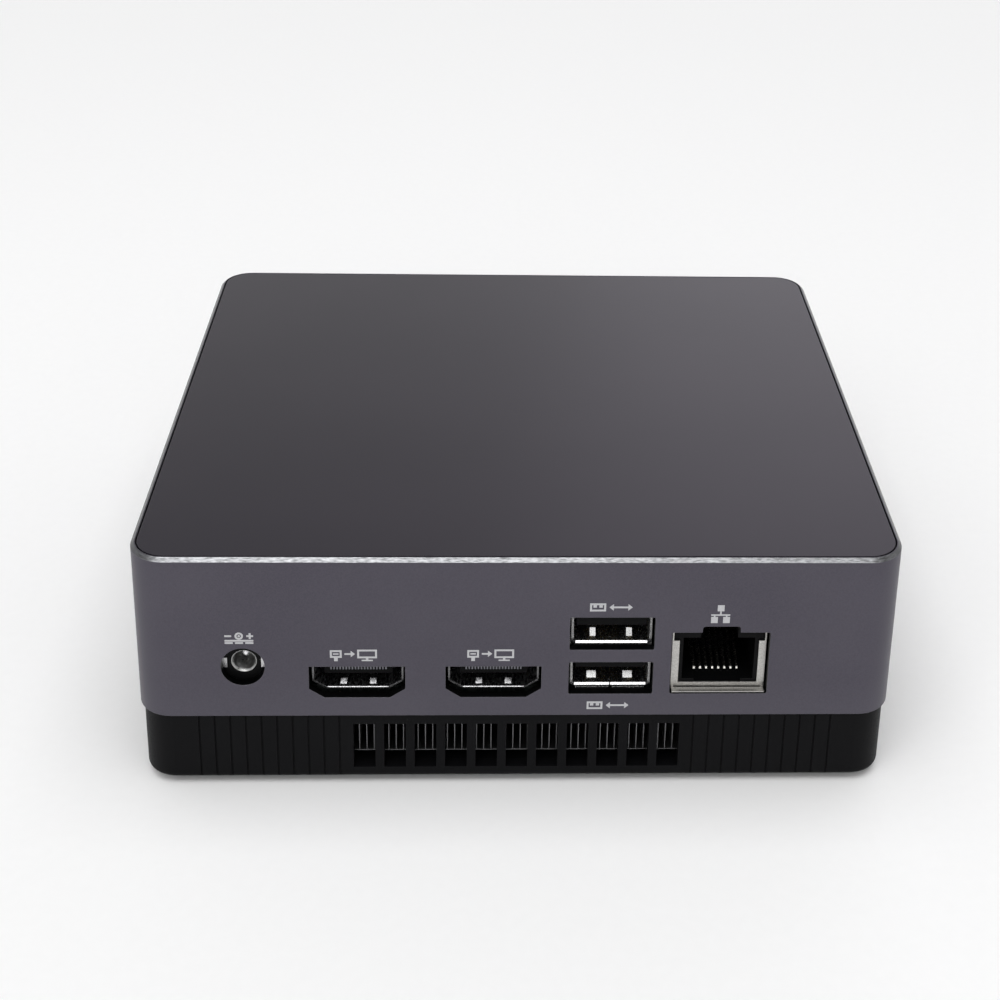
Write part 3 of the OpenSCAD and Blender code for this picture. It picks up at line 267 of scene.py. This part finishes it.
def moulded(name, color, roughness, grain_size=0.3, grain_depth=0.01, specular=0.4):
    """Injection-moulded plastic: fine spark texture, small colour drift and lighter edges, partly wear and
    partly a painted highlight.
    """
    look = Look(name, specular=specular)
    grain = look.noise(grain_size, 3)
    drift = look.noise(grain_size * 40, 2)
    base = look.vary(drift, color, 0.12)
    normal, edge = look.rounded(0.1)
    # Edges painted lighter: partly wear, partly a painted highlight.
    edge_wear_and_highlight = tuple(min(1, c * 2.2 + 0.02) for c in color)
    look.set(color=look.mix(look.math("MULTIPLY", edge, 0.25), base, edge_wear_and_highlight),
             roughness=look.remap(grain, 0.3, 0.7, roughness - 0.06, roughness + 0.08))
    look.bump(grain, grain_depth, normal)
    return look


def metal(name, color, roughness, brushed=(1, 1, 1), line=0.15, depth=0.004, variation=0.12, sheared=0.0):
    """Bare or plated metal with fine lines along the directions where brushed is small. The sheared
    share dulls faces towards the rear or the front, where sheet metal was cut through its plating."""
    look = Look(name, metallic=1.0)
    lines = look.noise(line, 3, stretch=brushed)
    stains = look.noise(4, 3)
    normal, edge = look.rounded(0.06)
    base = look.vary(lines, color, variation)
    base = look.mix(look.remap(stains, 0.5, 0.8, 0, 0.12), base, tuple(c * 0.7 for c in color))
    # Painted highlight: the edges are made lighter than the rest of the metal.
    bright = tuple(min(1, c * 1.25) for c in color)
    surface = look.mix(look.math("MULTIPLY", edge, 0.6), base, bright)
    if sheared:
        cut_face = look.remap(look.reach(look.facing, "Y"), 0.9, 0.97, 0, sheared)
        surface = look.mix(cut_face, surface, tuple(c * 0.12 for c in color))
    look.set(color=surface,
             roughness=look.remap(lines, 0.3, 0.7, roughness - 0.08, roughness + 0.1))
    look.bump(lines, depth, normal)
    return look


def circuit_board(name, color):
    """Solder mask over copper: raised tracks, plated dots and the weave of the glass laminate."""
    look = Look(name, specular=0.5, coat=0.3, coat_roughness=0.2)
    tracks = look.cells(3.2, "DISTANCE_TO_EDGE", stretch=(1, 1, 0.02))
    track = look.remap(tracks, 0.05, 0.035)
    fine = look.cells(1.3, "DISTANCE_TO_EDGE", stretch=(1.6, 0.5, 0.02))
    fine_track = look.remap(fine, 0.07, 0.05)
    dots = look.cells(1.7, "F1", stretch=(1, 1, 0.02))
    dot = look.remap(dots, 0.13, 0.11)
    raised = look.math("MAXIMUM", track, look.math("MULTIPLY", fine_track, 0.7))
    lighter = tuple(min(1, c * 1.9 + 0.01) for c in color)
    weave = look.noise(0.4, 2)
    base = look.mix(look.math("MULTIPLY", raised, 0.8), look.vary(weave, color, 0.15), lighter)
    base = look.mix(dot, base, (0.62, 0.52, 0.3))
    look.set(color=base, metallic=look.math("MULTIPLY", dot, 0.9),
             roughness=look.remap(weave, 0.3, 0.7, 0.26, 0.4))
    look.bump(look.math("MAXIMUM", raised, dot), 0.03)
    return look


def rubber():
    """Soft matt rubber with a pebbled skin and a little dust on its edges."""
    look = Look("rubber", specular=0.3, sheen=0.15)
    pebble = look.cells(0.35, "SMOOTH_F1")
    dust = look.noise(3, 4)
    normal, edge = look.rounded(0.2)
    dusty = look.product(edge, dust, 0.8)
    look.set(color=look.mix(dusty, (0.018, 0.018, 0.019), (0.09, 0.088, 0.085)),
             roughness=look.remap(dust, 0.3, 0.7, 0.68, 0.85))
    look.bump(pebble, 0.02, normal)
    return look


def winding():
    """Enamelled copper wire wound round the stator's poles."""
    look = Look("winding", metallic=0.85)
    bands = look.add("ShaderNodeTexWave", {"bands_direction": "Z"}, Vector=look.place, Scale=1.6,
                     Distortion=1.2, Detail=1.0).outputs["Fac"]
    tint = look.noise(1.5, 2)
    look.set(color=look.vary(tint, (0.55, 0.2, 0.07), 0.2), roughness=0.3)
    look.bump(bands, 0.06)
    return look


def antenna_film():
    """Amber film with a copper pattern showing through."""
    look = Look("antenna_film", specular=0.5, coat=0.5, coat_roughness=0.12)
    loops = look.cells(4.5, "DISTANCE_TO_EDGE")
    copper = look.remap(loops, 0.12, 0.09)
    ripple = look.noise(1.2, 2)
    look.set(color=look.mix(copper, (0.34, 0.14, 0.03), (0.55, 0.3, 0.16)), metallic=copper,
             roughness=look.remap(ripple, 0.3, 0.7, 0.25, 0.4))
    look.bump(ripple, 0.02)
    return look


def light_guide():
    """Milky light guide around the power button."""
    look = Look("light_guide", specular=0.5, subsurface=0.6, subsurface_scale=0.5 * MM)
    cloud = look.noise(0.8, 3)
    normal, edge = look.rounded(0.1)
    look.set(color=look.vary(cloud, (0.55, 0.6, 0.68), 0.06),
             roughness=look.remap(cloud, 0.3, 0.7, 0.25, 0.36))
    look.bump(cloud, 0.004, normal)
    return look


def printed_ink():
    """Light grey printed ink, slightly uneven at its own scale."""
    look = Look("printed_ink", specular=0.3)
    cover = look.noise(0.12, 3)
    look.set(color=look.vary(cover, (0.47, 0.47, 0.485), 0.12),
             roughness=look.remap(cover, 0.3, 0.7, 0.5, 0.66))
    look.bump(cover, 0.006)
    return look


def paint(look, *nodes):
    """Gives CAD nodes a material."""
    for name in nodes:
        mesh = frame["nodes"][name].data
        mesh.materials.clear()
        mesh.materials.append(look.material)


def paint_case():
    """Finishes of the shell, the base and what holds them together."""
    paint(blasted_shell(), "upper_shell")
    paint(satin_panel(), "top_panel")
    paint(moulded("base_plastic", (0.0038, 0.0038, 0.0044), 0.46, specular=0.07), "base_tub")
    paint(rubber(), "rubber_feet")
    foam = moulded("foam_tape", (0.01, 0.01, 0.01), 0.8, grain_size=0.5, grain_depth=0.05, specular=0.2)
    paint(foam, "top_panel_adhesive")
    button = moulded("button_plastic", (0.035, 0.034, 0.038), 0.32, grain_size=0.15, grain_depth=0.004)
    paint(button, "power_button")
    paint(light_guide(), "power_light_ring")
    paint(metal("black_zinc", (0.06, 0.06, 0.065), 0.34, line=0.2), "case_screws")


def paint_metals():
    """Finishes of screws, inserts, springs and the cooler's metal."""
    zinc = metal("bright_zinc", (0.62, 0.62, 0.64), 0.24, line=0.25)
    paint(zinc, "board_screws", "heatsink_screws", "small_screws")
    brass = metal("turned_brass", (0.66, 0.47, 0.2), 0.25, brushed=(1, 1, 6), line=0.3)
    paint(brass, "case_inserts", "bracket_inserts", "fan_standoffs", "fan_bearing", "card_standoffs")
    copper = metal("bare_copper", (0.7, 0.33, 0.19), 0.28, brushed=(0.3, 2, 2), variation=0.16)
    paint(copper, "heatsink_plate", "heat_pipe")
    paint(metal("fin_sheet", (0.2, 0.2, 0.205), 0.4, brushed=(2, 0.4, 2), line=0.2), "fin_stack")
    steel = metal("plated_steel", (0.62, 0.62, 0.63), 0.3, brushed=(2, 0.4, 2), line=0.2)
    paint(steel, "heatsink_springs", "heatsink_backplate", "fan_cover", "fan_shaft", "dc_jack_clip",
          "switch_body", "switch_dome")
    chrome = metal("chrome_plate", (0.82, 0.82, 0.84), 0.12, line=0.6, variation=0.05)
    paint(chrome, "dc_jack_pin", "coin_cell")
    paint(metal("sintered_magnet", (0.12, 0.12, 0.13), 0.5, line=0.3, depth=0.02), "fan_magnet")


def paint_sockets():
    """Finishes of the sockets' shells, inserts and contacts."""
    rolled = (1.5, 0.5, 1.5)
    bright_tin = metal("bright_tin", (0.8, 0.8, 0.8), 0.24, brushed=rolled, line=0.25, variation=0.06,
                       sheared=0.8)
    paint(bright_tin, "rear_usb_shell", "front_usb_shells")
    mottled_tin = metal("mottled_tin", (0.55, 0.55, 0.56), 0.28, brushed=rolled, line=0.5, variation=0.45,
                        sheared=0.8)
    paint(mottled_tin, "video_shells")
    dull_tin = metal("dull_tin", (0.5, 0.49, 0.47), 0.36, brushed=rolled, line=0.3, depth=0.01,
                     variation=0.2)
    paint(dull_tin, "lan_shell")
    paint(metal("satin_tube", (0.8, 0.8, 0.79), 0.33, line=0.3, variation=0.06), "dc_jack_barrel")
    paint(metal("thin_gold", (0.72, 0.56, 0.3), 0.24, line=0.2), "usb_contacts")
    paint(metal("dull_nickel", (0.2, 0.2, 0.22), 0.4, line=0.2), "video_contacts")
    paint(metal("nickel_wire", (0.4, 0.39, 0.36), 0.22, line=0.2), "lan_contacts")
    insulator = moulded("black_insulator", (0.003, 0.003, 0.0034), 0.4, grain_size=0.2, specular=0.08)
    paint(insulator, "video_inserts", "rear_usb_insert", "front_usb_inserts", "lan_insert",
          "dc_jack_body", "card_sockets", "audio_jack")
    paint(moulded("ivory_insulator", (0.7, 0.67, 0.56), 0.42), "memory_socket")


def paint_board():
    """Finishes of the boards, the blower and the parts on the mainboard."""
    epoxy = moulded("moulded_epoxy", (0.02, 0.02, 0.022), 0.55, grain_size=0.15, grain_depth=0.02)
    paint(epoxy, "power_inductors", "control_chips", "switch_plunger")
    paint(moulded("fan_plastic", (0.014, 0.014, 0.016), 0.36), "fan_housing", "fan_rotor")
    paint(winding(), "fan_stator")
    paste = moulded("thermal_paste", (0.32, 0.32, 0.34), 0.6, grain_size=0.8, grain_depth=0.03)
    paint(paste, "thermal_pad")
    paint(moulded("wire_jacket", (0.42, 0.02, 0.015), 0.35, grain_size=0.4), "fan_cable")
    paint(moulded("coax_jacket", (0.012, 0.012, 0.013), 0.4, grain_size=0.4), "antenna_cables")
    laminate = circuit_board("board_laminate", (0.004, 0.0055, 0.005))
    paint(laminate, "mainboard", "memory_module", "ssd_module", "radio_card")
    paint(circuit_board("processor_laminate", (0.008, 0.04, 0.022)), "processor")
    paint(antenna_film(), "antennas")


# ---- Printed pictograms ----

# All in mm. A shape is its outer points and, for a closed line, its inner points as well.
INK_THICKNESS = 0.03
STROKE = 0.32
HALF_TURN_STEPS = 16
DOT_STEPS = 24


def bar(left, low, right, high):
    """A filled rectangle."""
    return [(left, low), (right, low), (right, high), (left, high)], None


def arc(centre, radius, start, end, steps):
    """Points along an arc, in degrees anticlockwise."""
    angles = [math.radians(start + (end - start) * i / steps) for i in range(steps + 1)]
    return [(centre[0] + radius * math.cos(a), centre[1] + radius * math.sin(a)) for a in angles]


def circle(centre, radius, steps=2 * HALF_TURN_STEPS):
    """Points around a full circle."""
    return arc(centre, radius, 0, 360, steps)[:-1]


def dot(centre, radius):
    """A small filled circle."""
    return circle(centre, radius, DOT_STEPS), None


def ring(centre, radius):
    """A closed circular line whose outer radius is given."""
    return circle(centre, radius), circle(centre, radius - STROKE)


def half_ring(centre, radius):
    """A line along the upper half of a circle."""
    outer = arc(centre, radius, 0, 180, HALF_TURN_STEPS)
    inner = arc(centre, radius - STROKE, 180, 0, HALF_TURN_STEPS)
    return outer + inner, None


def outline(points):
    """A closed line just inside a convex outline given anticlockwise."""
    inner = []
    for i, corner in enumerate(points):
        before = (Vector(corner) - Vector(points[i - 1])).normalized()
        after = (Vector(points[(i + 1) % len(points)]) - Vector(corner)).normalized()
        inward = Vector((-before.y - after.y, before.x + after.x)).normalized()
        reach = STROKE / inward.dot(Vector((-before.y, before.x)))
        inner.append(tuple(Vector(corner) + inward * reach))
    return list(points), inner


def arrow_head(tip, back, half_height, level=0.0):
    """A filled triangle from its tip to its back edge, along a level line."""
    side = half_height if tip > back else -half_height
    return [(tip, level), (back, level + side), (back, level - side)], None


def power_supply_icon():
    """A plug seen end on between two marks, over a solid and a broken line for direct current."""
    width, gap = 4.6, 0.35
    dash = (width - 2 * gap) / 3
    solid_line, broken_line, marks = -0.62, -1.05, 0.42
    sign, half_sign, thin = 1.1, 0.55, STROKE / 2
    left, right = -width / 2, width / 2
    cross = right - half_sign
    shapes = []
    for i in range(3):
        start = left + i * (width + gap) / 3
        shapes.append(bar(start, broken_line, start + dash, broken_line + STROKE))
    return shapes + [
        ring((0, marks), 0.68), dot((0, marks), 0.2),
        bar(left, marks - thin, left + sign, marks + thin),
        bar(right - sign, marks - thin, right, marks + thin),
        bar(cross - thin, marks + thin, cross + thin, marks + half_sign),
        bar(cross - thin, marks - half_sign, cross + thin, marks - thin),
        bar(left, solid_line, right, solid_line + STROKE),
    ]


def display_icon():
    """A cable end, an arrow and a screen on its foot."""
    screen = [(0.6, -0.55), (3.8, -0.55), (3.8, 1.1), (0.6, 1.1)]
    plug = [(-3.8, -0.45), (-1.9, -0.45), (-1.9, 1.0), (-3.8, 1.0)]
    return [
        outline(screen), bar(2.0, -0.85, 2.4, -0.55), bar(1.3, -1.1, 3.1, -0.85),
        outline(plug), bar(-3.3, 0.15, -2.4, 0.4),
        bar(-1.45, 0.12, -0.45, 0.42), arrow_head(0.25, -0.45, 0.6, level=0.27),
        bar(-3.15, -1.1, -2.55, -0.45),
    ]


def data_icon():
    """A flat plug with two windows beside a two-way arrow."""
    shell = [(-3.5, -0.75), (-0.9, -0.75), (-0.9, 0.75), (-3.5, 0.75)]
    return [
        outline(shell), bar(-2.95, -0.05, -2.4, 0.4), bar(-2.0, -0.05, -1.45, 0.4),
        bar(0.35, -STROKE / 2, 2.7, STROKE / 2), arrow_head(-0.35, 0.35, 0.62), arrow_head(3.4, 2.7, 0.62),
    ]


def network_icon():
    """One box that branches down to two."""
    side, half, line = 1.15, 0.55, 0.26
    low, bus, spread = -1.75, -0.35, 0.98
    boxes = [bar(u - half, low, u + half, low + side) for u in (-spread, spread)]
    stems = [bar(u - line / 2, low + side, u + line / 2, bus) for u in (-spread, spread)]
    return boxes + stems + [
        bar(-1.55, bus, 1.55, bus + line), bar(-line / 2, bus + line, line / 2, 0.5),
        bar(-half, 0.5, half, 0.5 + side),
    ]


def audio_icon():
    """A pair of headphones."""
    return [half_ring((0, -0.1), 1.25), bar(-1.35, -1.05, -0.75, -0.1), bar(0.75, -1.05, 1.35, -0.1)]


def print_icon(name, shapes, centre, outward, look):
    """Lays flat shapes on a wall. outward is the wall's normal, and centre lies on the wall."""
    up = Vector((0, 0, 1))
    right = up.cross(outward)
    build = bmesh.new()

    def place(point, lift):
        return build.verts.new(centre + (right * point[0] + up * point[1] + outward * lift) * MM)

    def rails(points):
        return [place(p, 0) for p in points], [place(p, INK_THICKNESS) for p in points]

    def wall(low, high, inside=False):
        for i in range(len(low)):
            j = (i + 1) % len(low)
            corners = [low[i], low[j], high[j], high[i]]
            build.faces.new(corners[::-1] if inside else corners)

    for outer, inner in shapes:
        low, high = rails(outer)
        wall(low, high)
        if inner is None:
            build.faces.new(high)
            build.faces.new(low[::-1])
            continue
        low_in, high_in = rails(inner)
        wall(low_in, high_in, inside=True)
        for i in range(len(outer)):
            j = (i + 1) % len(outer)
            build.faces.new([high[i], high[j], high_in[j], high_in[i]])
            build.faces.new([low[j], low[i], low_in[i], low_in[j]])
    mesh = bpy.data.meshes.new(name)
    build.to_mesh(mesh)
    build.free()
    mesh.materials.append(look.material)
    piece = bpy.data.objects.new(name, mesh)
    bpy.context.scene.collection.objects.link(piece)
    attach(piece, "chassis")


def print_icons():
    """Pictograms beside the sockets. Each is moved sideways and up, in mm, from its mount's place."""
    look = printed_ink()
    front_low, rear_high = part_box("upper_shell")
    mounts = {mount["name"]: Vector(mount["pos_m"]) for mount in frame["record"]["mounts"]}

    def beside(mount, name, shapes, sideways, up):
        place = mounts[mount]
        on_rear = place.y > 0
        wall = rear_high.y if on_rear else front_low.y
        outward = Vector((0, 1 if on_rear else -1, 0))
        centre = Vector((place.x + sideways * MM, wall, place.z + up * MM))
        print_icon(name, shapes, centre, outward, look)

    beside("power_pin", "ink_power_supply", power_supply_icon(), 0.4, 5.5)
    for number in (1, 2):
        beside(f"video_port_{number}", f"ink_video_{number}", display_icon(), 0.5, 5.0)
    beside("rear_serial_upper", "ink_serial_upper", data_icon(), 0.3, 5.1)
    beside("rear_serial_lower", "ink_serial_lower", data_icon(), 0.3, -5.7)
    beside("network_jack", "ink_network", network_icon(), 0.35, 9.9)
    beside("audio_socket", "ink_audio", audio_icon(), 0, 6.2)
    for number in (1, 2):
        beside(f"front_serial_{number}", f"ink_front_serial_{number}", data_icon(), 0, 5.8)


# ---- Stage ----

WHITE = (1, 1, 1)
BACKDROP = 0.938
FLOOR_COLOR = (0.95, 0.95, 0.95)
FLOOR_HALF_M = 4.0
FADE_START_MM = 200
FADE_END_MM = 900


def floor():
    """A large plain pale floor under the feet. Away from the object it fades to the backdrop."""
    corners = [(x * FLOOR_HALF_M, y * FLOOR_HALF_M, 0) for x, y in ((-1, -1), (1, -1), (1, 1), (-1, 1))]
    mesh = bpy.data.meshes.new("floor")
    mesh.from_pydata(corners, [], [(0, 1, 2, 3)])
    look = Look("floor_paper", specular=0.0, roughness=0.9)
    fibre = look.noise(2, 3)
    distance = look.vector("LENGTH", look.place, (0, 0, 0), "Value")
    away = look.remap(distance, FADE_START_MM, FADE_END_MM)
    look.set(color=look.mix(away, look.vary(fibre, FLOOR_COLOR, 0.005), (0, 0, 0)),
             emission=(BACKDROP, BACKDROP, BACKDROP), glow=away)
    mesh.materials.append(look.material)
    sheet = bpy.data.objects.new("floor", mesh)
    bpy.context.scene.collection.objects.link(sheet)


def surroundings():
    """White surroundings, strong towards the horizon and weak overhead. The camera sees them as one
    even backdrop."""
    world = bpy.data.worlds.new("surroundings")
    world.use_nodes = True
    tree = world.node_tree
    light, backdrop = tree.nodes["Background"], tree.nodes.new("ShaderNodeBackground")
    for node in (light, backdrop):
        node.inputs["Color"].default_value = (*WHITE, 1)
    backdrop.inputs["Strength"].default_value = BACKDROP
    direction = tree.nodes.new("ShaderNodeTexCoord")
    parts = tree.nodes.new("ShaderNodeSeparateXYZ")
    tree.links.new(direction.outputs["Generated"], parts.inputs["Vector"])
    fall = tree.nodes.new("ShaderNodeMapRange")
    fall.interpolation_type = "SMOOTHSTEP"
    # Between these heights of a unit vector, 0 at the horizon and 1 overhead, the strength falls.
    for socket, value in {"From Min": 0.3, "From Max": 0.7, "To Min": 1.05, "To Max": 0.1}.items():
        fall.inputs[socket].default_value = value
    tree.links.new(parts.outputs["Z"], fall.inputs["Value"])
    tree.links.new(fall.outputs["Result"], light.inputs["Strength"])
    path = tree.nodes.new("ShaderNodeLightPath")
    blend = tree.nodes.new("ShaderNodeMixShader")
    tree.links.new(path.outputs["Is Camera Ray"], blend.inputs["Fac"])
    tree.links.new(light.outputs["Background"], blend.inputs[1])
    tree.links.new(backdrop.outputs["Background"], blend.inputs[2])
    tree.links.new(blend.outputs["Shader"], tree.nodes["World Output"].inputs["Surface"])
    bpy.context.scene.world = world


def soft_light(name, centre, offset, size, watts, color=WHITE):
    """A square area light aimed at the object's centre, at an offset from it in metres."""
    data = bpy.data.lights.new(name, "AREA")
    data.shape = "SQUARE"
    data.size = size
    data.energy = watts
    data.color = color
    lamp = bpy.data.objects.new(name, data)
    lamp.location = centre + Vector(offset)
    lamp.rotation_mode = "QUATERNION"
    lamp.rotation_quaternion = (centre - lamp.location).to_track_quat("-Z", "Y")
    bpy.context.scene.collection.objects.link(lamp)


def lights(centre):
    """Soft lights over the sockets, straight above, and behind the top plate."""
    soft_light("key", centre, (0.35, 0.9, 1.15), size=1.1, watts=6)
    soft_light("top", centre, (0, 0.2, 1.4), size=1.4, watts=13.5)
    soft_light("back", centre, (-0.5, -1.3, 0.75), size=0.9, watts=1.9, color=(0.95, 0.92, 1))


def camera():
    """A view camera over the rear sockets. Its film leans less than its line of sight, as with a
    lowered lens, so upright edges hardly converge. The lean is a shear held between the camera and
    its stand, because the lens itself stays centred for views from elsewhere."""
    place = Vector((5.1, 297.9, 200.8)) * MM
    swing, tilt, roll = (math.radians(angle) for angle in (-2.825, 20.69, -1.63))
    lens_right, lens_up = 0.0418, 0.183
    film_width, focal_share = 36, 1.771
    facing_front = Matrix.Rotation(math.pi + swing, 3, "Z")
    turn = facing_front @ Matrix.Rotation(-tilt, 3, "X") @ Matrix.Rotation(roll, 3, "Y")
    right, forward, up = turn.col
    sight = forward - right * lens_right - up * lens_up
    data = bpy.data.cameras.new("camera")
    data.sensor_width = film_width
    data.lens = film_width * focal_share * sight.length
    data.clip_start = 0.01
    eye = bpy.data.objects.new("camera", data)
    stand = bpy.data.objects.new("camera_stand", None)
    straight = Matrix((right, up, -forward)).transposed().to_4x4()
    leaning = Matrix((right, up, -sight.normalized())).transposed().to_4x4()
    straight.translation = leaning.translation = place
    eye.matrix_world = straight
    eye.parent = stand
    eye.matrix_parent_inverse = leaning @ straight.inverted()
    for item in (stand, eye):
        bpy.context.scene.collection.objects.link(item)
    bpy.context.scene.camera = eye


paint_case()
paint_metals()
paint_sockets()
paint_board()
print_icons()
floor()
surroundings()
lights((cad_box[0] + cad_box[1]) / 2)
camera()
bpy.context.scene.view_settings.view_transform = "Standard"
